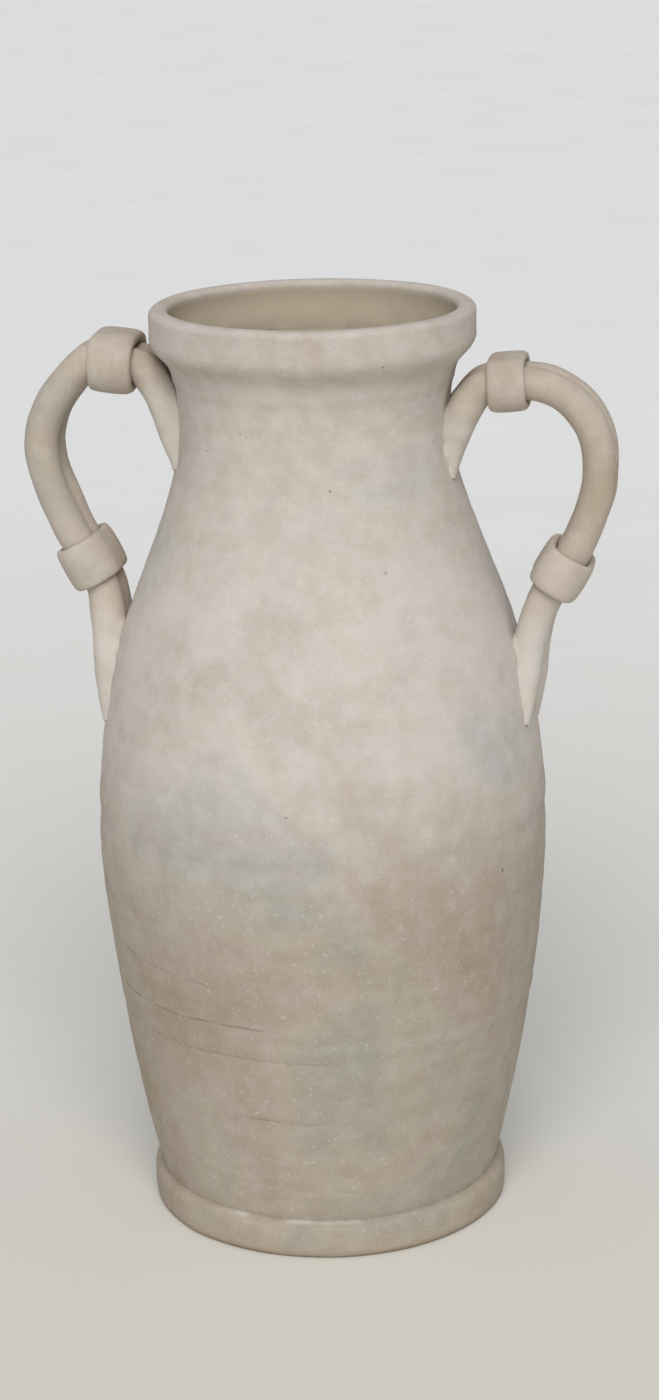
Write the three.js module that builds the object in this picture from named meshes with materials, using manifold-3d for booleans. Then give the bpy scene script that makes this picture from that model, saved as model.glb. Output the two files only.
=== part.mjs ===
// Tall two-handled ceramic vase, built up the way a potter builds it: a lower body thrown with
// its floor, an upper body with the neck set on it, a foot ring and a rim collar added as coils,
// and two handles. Each handle is a pair of round clay coils bound by two clay bands, with the
// tapered ends of the coils spread and luted on the neck and on the shoulder.
// Millimetres, +Z up. The origin is the centre of the base, on the table. The handles lie
// along X, and the front of the vase faces -Y.

import * as THREE from 'three';
import { mergeVertices } from 'three/addons/utils/BufferGeometryUtils.js';
import Module from 'manifold-3d';

const wasm = await Module();
wasm.setup();

// Heights of the vessel, each measured from the one before it.
const FOOT_HEIGHT = 22; // table to the crease above the foot ring
const BELLY_RISE = 220; // crease to the widest point
const NECK_RISE = 255; // widest point to the waist of the neck
const COLLAR_RISE = 18; // waist to the lower edge of the collar
const COLLAR_HEIGHT = 45; // lower edge of the collar to the lip

// Outer radii of the vessel.
const FOOT_WALL_RADIUS = 104.2; // wall at the crease
const BELLY_RADIUS = 135.9;
const NECK_RADIUS = 80.4;
const COLLAR_RADIUS = 96.2;

// Fullness of the outline: how far it runs on along its direction at each of those points.
const FOOT_FLARE_OUT = 5.6;
const FOOT_FLARE_UP = 16.4;
const BELLY_FULLNESS_BELOW = 79;
const BELLY_FULLNESS_ABOVE = 139;
const NECK_SWEEP_BELOW = 74;
const NECK_FLARE_RADIUS = 95; // curve of the neck as it opens above its waist

// Thicknesses of the clay.
const WALL = 9.5;
const FLOOR = 13;
const FLOOR_FILLET = 16; // inside corner between floor and wall
const LIP_WIDTH = 11.5;
const LIP_ROUND = 4;

// Joints between the pieces. The clearance is the film of slip that lutes them.
const SLIP = 0.3;
const SEAM_RISE = 16; // widest point to the seam of the two thrown sections
const SEAM_NOTCH = 4; // depth of the V notch in the lower section's edge
const FOOT_SEAT_TAPER = 3; // how much narrower the wall gets inside the foot ring
const COLLAR_LAP = 17; // how far the collar reaches down over the neck's edge

// Foot ring and collar.
const FOOT_RING_OUT = 6; // how far the ring stands out from the crease
const FOOT_RING_ROUND = 5;
const COLLAR_EDGE = 1; // thickness of the collar's lower edge
const COLLAR_UNDERSIDE = 24; // height of the sloping underside
const COLLAR_HOLLOW = 12; // how far the underside runs up the neck before it slopes out
const COLLAR_ROUND = 7; // how far it runs up the face before that is upright

// Handles: what both have in common.
const COIL_RADIUS = 9.9;
const COIL_TIP_RADIUS = 1.6;
const COIL_TIP_LIFT = 0.8; // centre of the tip above the wall
const TAIL_FULLNESS = 4; // the higher, the later a tapered end grows thin
const BAND_ROUND = 2;

// Handles: the route of each one, from the neck to the shoulder. Heights are measured from the
// waist of the neck and tilts from level, outwards. A pull is how far the curve runs on along
// its direction at that point. A spread is from the handle's plane to the tip of a coil, and
// lateness says how late on the way there a coil parts from its twin.
const RIGHT_HANDLE = {
  side: 'right',
  turn: 0,
  neckPull: 26,
  upperBand: { gap: 8, rise: 18, tilt: 4, width: 22, thickness: 5.6, pullIn: 9, pullOut: 15 },
  reach: 54, // from the middle of the upper band to the outermost point
  reachDrop: 30,
  reachPullUp: 36,
  reachPullDown: 22,
  lowerBand: { gap: 42, drop: 94, tilt: -121, width: 25, thickness: 5.6, pullIn: 10, pullOut: 26 },
  shoulderPull: 32,
  front: { neckDrop: 37, neckSpread: 15, shoulderDrop: 183, shoulderSpread: 27, lateness: 2 },
  back: { neckDrop: 34, neckSpread: 20, shoulderDrop: 194, shoulderSpread: 32, lateness: 1.1 },
};
const LEFT_HANDLE = {
  side: 'left',
  turn: 180,
  neckPull: 20,
  upperBand: { gap: 9, rise: 29, tilt: 5, width: 26, thickness: 7.4, pullIn: 12, pullOut: 6 },
  reach: 46,
  reachDrop: 22,
  reachPullUp: 26,
  reachPullDown: 20,
  lowerBand: { gap: 34, drop: 92, tilt: -118, width: 27, thickness: 5.6, pullIn: 10, pullOut: 12 },
  shoulderPull: 34,
  front: { neckDrop: 32, neckSpread: 24, shoulderDrop: 184, shoulderSpread: 36, lateness: 1.5 },
  back: { neckDrop: 34, neckSpread: 20, shoulderDrop: 188, shoulderSpread: 34, lateness: 1.5 },
};

// Fineness of the faceted surfaces.
const TURN_STEPS = 40; // round the vessel, an even number so that both handles meet like facets
const WALL_STEPS = 11; // up the wall of each thrown section
const ARC_STEPS = 4; // round a small arc
const COIL_SIDES = 10;
const TAIL_STEPS = 8; // along each tapered end of a coil
const LOOP_STEPS = 6; // along each half of the loop
const BAND_END_STEPS = 6; // round each end of a band

// Heights above the table.
const bellyZ = FOOT_HEIGHT + BELLY_RISE;
const seamZ = bellyZ + SEAM_RISE;
const neckZ = bellyZ + NECK_RISE;
const collarZ = neckZ + COLLAR_RISE;
const neckTopZ = collarZ + COLLAR_LAP;
const lipZ = collarZ + COLLAR_HEIGHT;

// The wall's outline between crease and belly, and between belly and neck, as (radius, height).
const lowerOutline = new THREE.CubicBezierCurve(
  new THREE.Vector2(FOOT_WALL_RADIUS, FOOT_HEIGHT),
  new THREE.Vector2(FOOT_WALL_RADIUS + FOOT_FLARE_OUT, FOOT_HEIGHT + FOOT_FLARE_UP),
  new THREE.Vector2(BELLY_RADIUS, bellyZ - BELLY_FULLNESS_BELOW),
  new THREE.Vector2(BELLY_RADIUS, bellyZ),
);
const upperOutline = new THREE.CubicBezierCurve(
  new THREE.Vector2(BELLY_RADIUS, bellyZ),
  new THREE.Vector2(BELLY_RADIUS, bellyZ + BELLY_FULLNESS_ABOVE),
  new THREE.Vector2(NECK_RADIUS, neckZ - NECK_SWEEP_BELOW),
  new THREE.Vector2(NECK_RADIUS, neckZ),
);

// Radius of an outline at a height: halves the stretch that holds the height until it is tiny.
function outlineRadius(outline, z) {
  let low = 0;
  let high = 1;
  while (high - low > 1e-7) {
    const middle = (low + high) / 2;
    if (outline.getPoint(middle).y < z) {
      low = middle;
    } else {
      high = middle;
    }
  }
  return outline.getPoint(low).x;
}

// Outer radius of the thrown wall at any height, inside the foot ring and the collar too.
function wallRadius(z) {
  if (z < FOOT_HEIGHT) {
    return FOOT_WALL_RADIUS - FOOT_SEAT_TAPER * (1 - z / FOOT_HEIGHT);
  }
  if (z < bellyZ) {
    return outlineRadius(lowerOutline, z);
  }
  if (z < neckZ) {
    return outlineRadius(upperOutline, z);
  }
  return NECK_RADIUS + (z - neckZ) ** 2 / (2 * NECK_FLARE_RADIUS);
}

// How fast the wall's radius grows with height.
function wallSlope(z) {
  const step = 0.5;
  return (wallRadius(z + step) - wallRadius(z - step)) / (2 * step);
}

// Inner radius of the thrown wall, which keeps its thickness square to the outline.
function innerRadius(z) {
  return wallRadius(z) - WALL * Math.hypot(1, wallSlope(z));
}

// Points (radius, height) of a radius function from one height to another.
function profile(radiusAt, fromZ, toZ, steps) {
  const points = [];
  for (let i = 0; i <= steps; i += 1) {
    const z = fromZ + ((toZ - fromZ) * i) / steps;
    points.push(new THREE.Vector2(radiusAt(z), z));
  }
  return points;
}

// Points of a circular arc, with its angles in degrees from the outward direction.
function arc(centreR, centreZ, radius, fromDegrees, toDegrees) {
  const points = [];
  for (let i = 0; i <= ARC_STEPS; i += 1) {
    const angle = THREE.MathUtils.degToRad(
      fromDegrees + ((toDegrees - fromDegrees) * i) / ARC_STEPS,
    );
    points.push(
      new THREE.Vector2(centreR + radius * Math.cos(angle), centreZ + radius * Math.sin(angle)),
    );
  }
  return points;
}

// Turns a profile round the vessel's axis. The profile runs up the outside.
function turned(points) {
  return new THREE.LatheGeometry(points, TURN_STEPS).rotateX(Math.PI / 2);
}

// Lower section: flat base, wall up to the seam, V notch in its edge, inside wall and floor.
function lowerBody() {
  const filletTopZ = FLOOR + FLOOR_FILLET;
  const notchRadius = (wallRadius(seamZ) + innerRadius(seamZ)) / 2;
  return turned([
    new THREE.Vector2(0, 0),
    ...profile(wallRadius, 0, FOOT_HEIGHT, 1),
    ...profile(wallRadius, FOOT_HEIGHT, seamZ, WALL_STEPS).slice(1),
    new THREE.Vector2(notchRadius, seamZ - SEAM_NOTCH),
    ...profile(innerRadius, seamZ, filletTopZ, WALL_STEPS),
    ...arc(innerRadius(filletTopZ) - FLOOR_FILLET, filletTopZ, FLOOR_FILLET, 0, -90).slice(1),
    new THREE.Vector2(0, FLOOR),
  ]);
}

// Upper section: shoulder and neck in one, with a wedge below that fits the notch.
function upperBody() {
  const wedgeRadius = (wallRadius(seamZ) + innerRadius(seamZ)) / 2;
  const wedgeTip = new THREE.Vector2(wedgeRadius, seamZ - SEAM_NOTCH + SLIP);
  return turned([
    wedgeTip,
    ...profile(wallRadius, seamZ + SLIP, neckZ, WALL_STEPS),
    ...profile(wallRadius, neckZ, neckTopZ, ARC_STEPS).slice(1),
    ...profile(innerRadius, neckTopZ, neckZ, ARC_STEPS),
    ...profile(innerRadius, neckZ, seamZ + SLIP, WALL_STEPS).slice(1),
    wedgeTip,
  ]);
}

// Foot ring: a coil pressed round the base of the wall, rounded above and below.
function footRing() {
  const ringRadius = FOOT_WALL_RADIUS + FOOT_RING_OUT;
  const roundRadius = ringRadius - FOOT_RING_ROUND;
  return turned([
    new THREE.Vector2(wallRadius(0) + SLIP, 0),
    ...arc(roundRadius, FOOT_RING_ROUND, FOOT_RING_ROUND, -90, 0),
    ...arc(roundRadius, FOOT_HEIGHT - FOOT_RING_ROUND, FOOT_RING_ROUND, 0, 90),
    new THREE.Vector2(wallRadius(FOOT_HEIGHT) + SLIP, FOOT_HEIGHT),
    new THREE.Vector2(wallRadius(0) + SLIP, 0),
  ]);
}

// Outside of the collar from its lower edge up to where the lip starts to round.
function collarFace() {
  const edgeRadius = wallRadius(collarZ) + SLIP + COLLAR_EDGE;
  const faceZ = collarZ + COLLAR_UNDERSIDE;
  const slope = new THREE.CubicBezierCurve(
    new THREE.Vector2(edgeRadius, collarZ),
    new THREE.Vector2(edgeRadius, collarZ + COLLAR_HOLLOW),
    new THREE.Vector2(COLLAR_RADIUS, faceZ - COLLAR_ROUND),
    new THREE.Vector2(COLLAR_RADIUS, faceZ),
  );
  return [...slope.getPoints(2 * ARC_STEPS), new THREE.Vector2(COLLAR_RADIUS, lipZ - LIP_ROUND)];
}

// Rim collar: laps over the neck's edge outside, seats on it, and carries the lip.
function rimCollar() {
  const lipOuter = COLLAR_RADIUS - LIP_ROUND;
  const lipInner = COLLAR_RADIUS - LIP_WIDTH + LIP_ROUND;
  const mouth = new THREE.QuadraticBezierCurve(
    new THREE.Vector2(COLLAR_RADIUS - LIP_WIDTH, lipZ - LIP_ROUND),
    new THREE.Vector2(COLLAR_RADIUS - LIP_WIDTH, lipZ - COLLAR_HEIGHT / 3),
    new THREE.Vector2(innerRadius(neckTopZ), neckTopZ + SLIP),
  );
  const lapRadius = (z) => wallRadius(z) + SLIP;
  return turned([
    new THREE.Vector2(lapRadius(collarZ), collarZ),
    ...collarFace(),
    ...arc(lipOuter, lipZ - LIP_ROUND, LIP_ROUND, 0, 90).slice(1),
    ...arc(lipInner, lipZ - LIP_ROUND, LIP_ROUND, 90, 180),
    ...mouth.getPoints(ARC_STEPS).slice(1),
    new THREE.Vector2(lapRadius(neckTopZ), neckTopZ + SLIP),
    ...profile(lapRadius, neckTopZ, collarZ, ARC_STEPS),
  ]);
}

// Solid block with the vessel's outside and the film of slip over it, which trims the coils.
function vesselBlock() {
  const withSlip = (z) => wallRadius(z) + SLIP;
  return turned([
    new THREE.Vector2(0, seamZ),
    ...profile(withSlip, seamZ + SLIP, neckZ, WALL_STEPS),
    ...profile(withSlip, neckZ, collarZ - SLIP, ARC_STEPS).slice(1),
    ...collarFace().map((point) => new THREE.Vector2(point.x + SLIP, point.y - SLIP)),
    new THREE.Vector2(COLLAR_RADIUS + SLIP, lipZ + SLIP),
    new THREE.Vector2(0, lipZ + SLIP),
  ]);
}

// A closed mesh as a solid for cutting.
function solidOf(geometry) {
  const bare = geometry.clone();
  bare.deleteAttribute('normal');
  bare.deleteAttribute('uv');
  const merged = mergeVertices(bare);
  const corners = merged.index.array;
  const triangles = [];
  for (let i = 0; i < corners.length; i += 3) {
    const [a, b, c] = corners.subarray(i, i + 3);
    if (a !== b && b !== c && c !== a) {
      triangles.push(a, b, c);
    }
  }
  return new wasm.Manifold(
    new wasm.Mesh({
      numProp: 3,
      vertProperties: new Float32Array(merged.attributes.position.array),
      triVerts: new Uint32Array(triangles),
    }),
  );
}

// A solid back as a geometry.
function geometryOf(solid) {
  const mesh = solid.getMesh();
  const geometry = new THREE.BufferGeometry();
  geometry.setAttribute('position', new THREE.BufferAttribute(mesh.vertProperties, 3));
  geometry.setIndex(new THREE.BufferAttribute(mesh.triVerts, 1));
  geometry.computeVertexNormals();
  return geometry;
}

// Closed skin over a row of rings of points, which turn left-handed about the way the row runs.
function skinned(rings) {
  const sides = rings[0].length;
  const end = (rings.length - 1) * sides;
  const corners = [];
  for (let here = 0; here < end; here += sides) {
    for (let j = 0; j < sides; j += 1) {
      const k = (j + 1) % sides;
      const next = here + sides;
      corners.push(here + j, next + j, next + k, here + j, next + k, here + k);
    }
  }
  for (let j = 1; j < sides - 1; j += 1) {
    corners.push(0, j, j + 1, end, end + j + 1, end + j);
  }
  const geometry = new THREE.BufferGeometry().setFromPoints(rings.flat());
  geometry.setIndex(corners);
  return geometry;
}

// Direction in a handle's plane at a tilt from level, outwards.
function heading(degrees) {
  const angle = THREE.MathUtils.degToRad(degrees);
  return new THREE.Vector2(Math.cos(angle), Math.sin(angle));
}

// A point moved along a direction.
function moved(point, direction, distance) {
  return point.clone().addScaledVector(direction, distance);
}

// Middle of each band as (distance from the vessel's axis, height).
function upperBandMiddle({ upperBand }) {
  const out = COLLAR_RADIUS + upperBand.gap + upperBand.width / 2;
  return new THREE.Vector2(out, neckZ + upperBand.rise);
}
function lowerBandMiddle({ lowerBand }) {
  const z = neckZ - lowerBand.drop;
  return new THREE.Vector2(wallRadius(z) + lowerBand.gap, z);
}

// Route of one coil as (distance from the vessel's axis, height): tapered end on the neck,
// straight through the upper band, two halves of the loop, straight through the lower band,
// and tapered end on the shoulder.
function coilRoute(handle, tips) {
  const { upperBand, lowerBand } = handle;
  const up = heading(90);
  const onWall = (z) => new THREE.Vector2(wallRadius(z) + COIL_TIP_LIFT, z);
  const upWall = (z) => new THREE.Vector2(wallSlope(z), 1).normalize();
  const neckTip = onWall(neckZ - tips.neckDrop);
  const shoulderTip = onWall(neckZ - tips.shoulderDrop);
  const upperWay = heading(upperBand.tilt);
  const upperStart = moved(upperBandMiddle(handle), upperWay, -upperBand.width / 2);
  const upperEnd = moved(upperBandMiddle(handle), upperWay, upperBand.width / 2);
  const lowerWay = heading(lowerBand.tilt);
  const lowerStart = moved(lowerBandMiddle(handle), lowerWay, -lowerBand.width / 2);
  const lowerEnd = moved(lowerBandMiddle(handle), lowerWay, lowerBand.width / 2);
  const outermost = new THREE.Vector2(
    upperBandMiddle(handle).x + handle.reach,
    neckZ - handle.reachDrop,
  );
  return [
    new THREE.CubicBezierCurve(
      neckTip,
      moved(neckTip, upWall(neckTip.y), handle.neckPull),
      moved(upperStart, upperWay, -upperBand.pullIn),
      upperStart,
    ),
    new THREE.LineCurve(upperStart, upperEnd),
    new THREE.CubicBezierCurve(
      upperEnd,
      moved(upperEnd, upperWay, upperBand.pullOut),
      moved(outermost, up, handle.reachPullUp),
      outermost,
    ),
    new THREE.CubicBezierCurve(
      outermost,
      moved(outermost, up, -handle.reachPullDown),
      moved(lowerStart, lowerWay, -lowerBand.pullIn),
      lowerStart,
    ),
    new THREE.LineCurve(lowerStart, lowerEnd),
    new THREE.CubicBezierCurve(
      lowerEnd,
      moved(lowerEnd, lowerWay, lowerBand.pullOut),
      moved(shoulderTip, upWall(shoulderTip.y), handle.shoulderPull),
      shoulderTip,
    ),
  ];
}

// Stations along a coil: where each one lies in the handle's plane, how far out on a tapered
// end it is (0 at the band, 1 at the tip) and the spread of that end.
function coilStations(handle, tips) {
  const stations = [];
  const route = coilRoute(handle, tips);
  const steps = [TAIL_STEPS, 1, LOOP_STEPS, LOOP_STEPS, 1, TAIL_STEPS];
  route.forEach((curve, part) => {
    for (let i = part === 0 ? 0 : 1; i <= steps[part]; i += 1) {
      const along = i / steps[part];
      const flat = curve.getPointAt(along);
      if (part === 0) {
        stations.push({ flat, tail: 1 - along, spread: tips.neckSpread });
      } else if (part === route.length - 1) {
        stations.push({ flat, tail: along, spread: tips.shoulderSpread });
      } else {
        stations.push({ flat, tail: 0, spread: 0 });
      }
    }
  });
  return stations;
}

// Centre of a coil at a station. The coils of a pair lie at either side of the handle's plane.
function coilCentre({ flat, tail, spread }, lateness, face) {
  const apart = COIL_RADIUS + SLIP / 2;
  const y = face * (apart + (spread - apart) * tail ** lateness);
  return new THREE.Vector3(Math.sqrt(flat.x ** 2 - y ** 2), y, flat.y);
}

// One coil, full round between the bands, drawn out to a point at each tip, and trimmed where
// it lies on the vessel.
function coil(handle, tips, face) {
  const stations = coilStations(handle, tips);
  const centres = stations.map((station) => coilCentre(station, tips.lateness, face));
  const rings = stations.map(({ tail }, i) => {
    const ahead = centres[Math.min(i + 1, centres.length - 1)];
    const behind = centres[Math.max(i - 1, 0)];
    const direction = ahead.clone().sub(behind).normalize();
    const outward = new THREE.Vector3(0, 1, 0).cross(direction).normalize();
    const sideways = outward.clone().cross(direction);
    const taper = 1 - tail ** TAIL_FULLNESS;
    const radius = COIL_TIP_RADIUS + (COIL_RADIUS - COIL_TIP_RADIUS) * taper;
    return Array.from({ length: COIL_SIDES }, (_, j) => {
      const angle = (2 * Math.PI * j) / COIL_SIDES;
      return centres[i]
        .clone()
        .addScaledVector(outward, radius * Math.cos(angle))
        .addScaledVector(sideways, radius * Math.sin(angle));
    });
  });
  return geometryOf(solidOf(skinned(rings)).subtract(solidOf(vesselBlock())));
}

// Outline round a pair of coils that lie side by side, with its round ends along Y.
function pairOutline(outline, radius) {
  const apart = COIL_RADIUS + SLIP / 2;
  outline.absarc(0, apart, radius, 0, Math.PI);
  outline.absarc(0, -apart, radius, Math.PI, 2 * Math.PI);
  outline.closePath();
  return outline;
}

// One band: a flat strip wrapped round both coils, with soft edges, centred on its own origin.
function bandStrip({ width, thickness }) {
  const inside = (COIL_RADIUS + SLIP) / Math.cos(Math.PI / (2 * BAND_END_STEPS));
  const outline = pairOutline(new THREE.Shape(), inside + thickness);
  outline.holes.push(pairOutline(new THREE.Path(), inside));
  const strip = new THREE.ExtrudeGeometry(outline, {
    depth: width - 2 * BAND_ROUND,
    curveSegments: BAND_END_STEPS,
    bevelThickness: BAND_ROUND,
    bevelSize: BAND_ROUND,
    bevelOffset: -BAND_ROUND,
    bevelSegments: 1,
  });
  return strip.translate(0, 0, BAND_ROUND - width / 2);
}

// A named piece in its clay colour.
function piece(name, geometry, color) {
  const material = new THREE.MeshStandardMaterial({ color, roughness: 0.92, metalness: 0 });
  const mesh = new THREE.Mesh(geometry, material);
  mesh.name = name;
  return mesh;
}

// A band in its place on the coils: its strip runs along its own Z, which is laid at the tilt.
function placedBand(name, { width, thickness, tilt }, middle) {
  const mesh = piece(name, bandStrip({ width, thickness }), '#bdb2a5');
  mesh.position.set(middle.x, 0, middle.y);
  mesh.rotation.y = Math.PI / 2 - THREE.MathUtils.degToRad(tilt);
  return mesh;
}

// Both coils and both bands of one handle, turned to its side of the vessel. The handle turned
// to the left has its own front where the right one has its back.
function handleGroup(handle) {
  const group = new THREE.Group();
  const { side, turn, front, back, upperBand, lowerBand } = handle;
  const frontFace = turn === 0 ? -1 : 1;
  group.add(
    piece(`${side}_front_coil`, coil(handle, front, frontFace), '#b5ab9f'),
    piece(`${side}_back_coil`, coil(handle, back, -frontFace), '#b5ab9f'),
    placedBand(`${side}_upper_band`, upperBand, upperBandMiddle(handle)),
    placedBand(`${side}_lower_band`, lowerBand, lowerBandMiddle(handle)),
  );
  group.rotation.z = THREE.MathUtils.degToRad(turn);
  return group;
}

const vase = new THREE.Group();
vase.add(
  piece('foot_ring', footRing(), '#b1a798'),
  piece('lower_body', lowerBody(), '#bab1a5'),
  piece('upper_body', upperBody(), '#c6bfb6'),
  piece('rim_collar', rimCollar(), '#c2b9b0'),
  handleGroup(RIGHT_HANDLE),
  handleGroup(LEFT_HANDLE),
);

export default vase;
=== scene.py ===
"""Looks of a tall two-handled ceramic vase in matt, chalky slip.

The vessel is two thrown sections with a foot ring and a rim collar. Each handle is a pair of
round clay coils bound by two flat bands, with its tapered ends luted on the wall.
Metres, +Z up. The handles lie along X and the front faces -Y.
"""

import math

import bmesh
import bpy
from mathutils import Matrix, Vector, noise


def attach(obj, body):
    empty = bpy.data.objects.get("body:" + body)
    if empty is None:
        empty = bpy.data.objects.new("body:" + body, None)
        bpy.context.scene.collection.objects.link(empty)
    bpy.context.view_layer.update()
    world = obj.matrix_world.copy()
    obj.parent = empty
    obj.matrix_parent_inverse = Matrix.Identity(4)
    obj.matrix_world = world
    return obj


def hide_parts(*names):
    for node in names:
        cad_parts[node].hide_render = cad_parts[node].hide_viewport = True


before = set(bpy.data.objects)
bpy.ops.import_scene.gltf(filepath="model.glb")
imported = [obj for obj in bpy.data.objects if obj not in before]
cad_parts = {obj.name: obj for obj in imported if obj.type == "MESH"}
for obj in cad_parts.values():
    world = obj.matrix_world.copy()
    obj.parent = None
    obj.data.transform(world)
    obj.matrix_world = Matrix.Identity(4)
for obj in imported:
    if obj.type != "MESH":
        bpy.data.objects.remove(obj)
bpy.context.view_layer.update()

# Heights of the vessel, and what they add up to.
FOOT_HEIGHT = 0.022
BELLY_RISE = 0.220
SEAM_RISE = 0.016
NECK_RISE = 0.255
COLLAR_RISE = 0.018
COLLAR_LAP = 0.017
COLLAR_HEIGHT = 0.045
BELLY_Z = FOOT_HEIGHT + BELLY_RISE
SEAM_Z = BELLY_Z + SEAM_RISE
NECK_Z = BELLY_Z + NECK_RISE
COLLAR_Z = NECK_Z + COLLAR_RISE
NECK_TOP_Z = COLLAR_Z + COLLAR_LAP
LIP_Z = COLLAR_Z + COLLAR_HEIGHT

# Outer radii of the vessel.
FOOT_WALL_RADIUS = 0.1042
BELLY_RADIUS = 0.1359
NECK_RADIUS = 0.0804
COLLAR_RADIUS = 0.0962
NECK_FLARE_RADIUS = 0.095

# Fullness of the outline: how far it runs on along its direction at each of those points.
FOOT_FLARE_OUT = 0.0056
FOOT_FLARE_UP = 0.0164
BELLY_FULLNESS_BELOW = 0.079
BELLY_FULLNESS_ABOVE = 0.139
NECK_SWEEP_BELOW = 0.074
LOWER_OUTLINE = (
    Vector((FOOT_WALL_RADIUS, FOOT_HEIGHT)),
    Vector((FOOT_WALL_RADIUS + FOOT_FLARE_OUT, FOOT_HEIGHT + FOOT_FLARE_UP)),
    Vector((BELLY_RADIUS, BELLY_Z - BELLY_FULLNESS_BELOW)),
    Vector((BELLY_RADIUS, BELLY_Z)),
)
UPPER_OUTLINE = (
    Vector((BELLY_RADIUS, BELLY_Z)),
    Vector((BELLY_RADIUS, BELLY_Z + BELLY_FULLNESS_ABOVE)),
    Vector((NECK_RADIUS, NECK_Z - NECK_SWEEP_BELOW)),
    Vector((NECK_RADIUS, NECK_Z)),
)

# Thickness of the clay, and the notched joint of the two thrown sections.
WALL = 0.0095
FLOOR = 0.013
FLOOR_FILLET = 0.016
LIP_WIDTH = 0.0115
LIP_ROUND = 0.0042
NOTCH_DEPTH = 0.004
WEDGE_DEPTH = 0.0037

# How uneven the potter's hand left the wall. A fineness is about how many bumps a metre holds,
# and a swell is (height, z, half its width).
BUMP_RADIUS = 0.12
SLOW_BUMPS = ((11, 0.0011), (27, 0.00045))
RIDGE_HEIGHT = 0.00013
RIDGE_PITCH = 0.0185
FINE_RIDGE_PITCH = 0.0113
FINE_RIDGE_SHARE = 0.6
RIDGE_DRIFT = 0.004
DRIFT_FINENESS = 6
RIDGE_FINENESS = 8
RIDGE_SHIFT = Vector((3, 1, 7))
SEAM_SWELLS = ((0.0006, SEAM_Z + 0.010, 0.007), (-0.0004, SEAM_Z - 0.004, 0.006))
STEP_SWELLS = ((0.0005, 0.140, 0.004), (-0.0004, 0.133, 0.003))
STEP_FINENESS = 9

# Foot ring. A round is (centre in from the ring's face, centre's height, radius).
FOOT_RING_OUT = 0.006
FOOT_RING_SUNK = 0.0006
FOOT_ARRIS = (0.0034, 0.0032, 0.0030)
FOOT_SHOULDER = (0.0058, 0.0168, 0.0060)
FOOT_FACE = ((0.0001, 0.0075), (0.0002, 0.0120))  # (out from the ring's radius, height)
FOOT_TOP = ((0.0010, 0.0222), (-0.0006, 0.0226))  # (out from the wall, height)
FOOT_WAVE = 0.0007
FOOT_WAVE_FINENESS = 16
FOOT_FLAT_Z = 0.001  # the ring stays flat on the table below this

# Rim collar: feathered out on the neck, with a rounded underside, upright face, lip and mouth.
COLLAR_FEATHER = 0.012
COLLAR_SUNK = 0.0003
COLLAR_BLEND = 0.0014
UNDERSIDE_RISE = 0.003
FACE_RISE = 0.0265
UNDERSIDE_IN = 0.0005
UNDERSIDE_UP = 0.0105
FACE_ROUND_IN = 0.0012
FACE_ROUND_DOWN = 0.0093
LAP_SUNK = 0.0015
MOUTH_DROP = 0.016
MOUTH_PULL = 0.010
MOUTH_PROUD = 0.0002
COLLAR_WAVE = 0.0011
COLLAR_WAVE_RISE = 0.004
COLLAR_WAVE_FINENESS = 13
COLLAR_WAVE_SHIFT = Vector((5, 5, 5))

# Finger dents inside the rim, each at (azimuth in degrees, height).
FINGER_DENTS = ((112, 0.537), (88, 0.538), (61, 0.538), (45, 0.536), (150, 0.536), (-20, 0.538))
DENT_DEPTH = 0.0013
DENT_WIDTH = 0.008
DENT_HEIGHT = 0.006
DENT_MARGIN = 0.001

# Handles. A pull is how far a coil's curve runs on along its direction. A reach is (out from the
# upper band, down from the neck's waist, pull up, pull down) of the outermost point. The front and
# the back coil are each (neck drop, neck spread, shoulder drop, shoulder spread, lateness), where
# a spread is from the handle's plane to the tip, and lateness how late the coil parts from its twin.
COIL_RADIUS = 0.0099
COIL_TIP_RADIUS = 0.0010
COIL_TIP_LIFT = 0.0001
TAIL_FULLNESS = 4
HALF_GAP = 0.00015
RIGHT_HANDLE = {
    "side": "right",
    "out": 1,
    "neck_pull": 0.026,
    "upper": {"gap": 0.008, "rise": 0.018, "tilt": 4, "width": 0.022, "thick": 0.0056,
              "pull_in": 0.009, "pull_out": 0.015},
    "reach": (0.054, 0.030, 0.036, 0.022),
    "lower": {"gap": 0.042, "drop": 0.094, "tilt": -121, "width": 0.025, "thick": 0.0056,
              "pull_in": 0.010, "pull_out": 0.026},
    "shoulder_pull": 0.032,
    "front": (0.037, 0.015, 0.183, 0.027, 2.0),
    "back": (0.034, 0.020, 0.194, 0.032, 1.1),
}
LEFT_HANDLE = {
    "side": "left",
    "out": -1,
    "neck_pull": 0.020,
    "upper": {"gap": 0.009, "rise": 0.029, "tilt": 5, "width": 0.026, "thick": 0.0074,
              "pull_in": 0.012, "pull_out": 0.006},
    "reach": (0.046, 0.022, 0.026, 0.020),
    "lower": {"gap": 0.034, "drop": 0.092, "tilt": -118, "width": 0.027, "thick": 0.0056,
              "pull_in": 0.010, "pull_out": 0.012},
    "shoulder_pull": 0.034,
    "front": (0.032, 0.024, 0.184, 0.036, 1.5),
    "back": (0.034, 0.020, 0.188, 0.034, 1.5),
}

# How the coils were rolled, and how they are luted on the wall.
LUMP = 0.07
LUMP_FINENESS = 38
SMALL_LUMP = 0.03
SMALL_LUMP_FINENESS = 90
COIL_KNEAD = 0.0005
COIL_KNEAD_FINENESS = 55
FILLET = 0.0045
FILLET_SPREAD = 0.0024
FILLET_EVEN = 0.8
FILLET_UNEVEN = 1.1
FILLET_FINENESS = 110
LUTE_DEPTH = 0.0007

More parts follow.
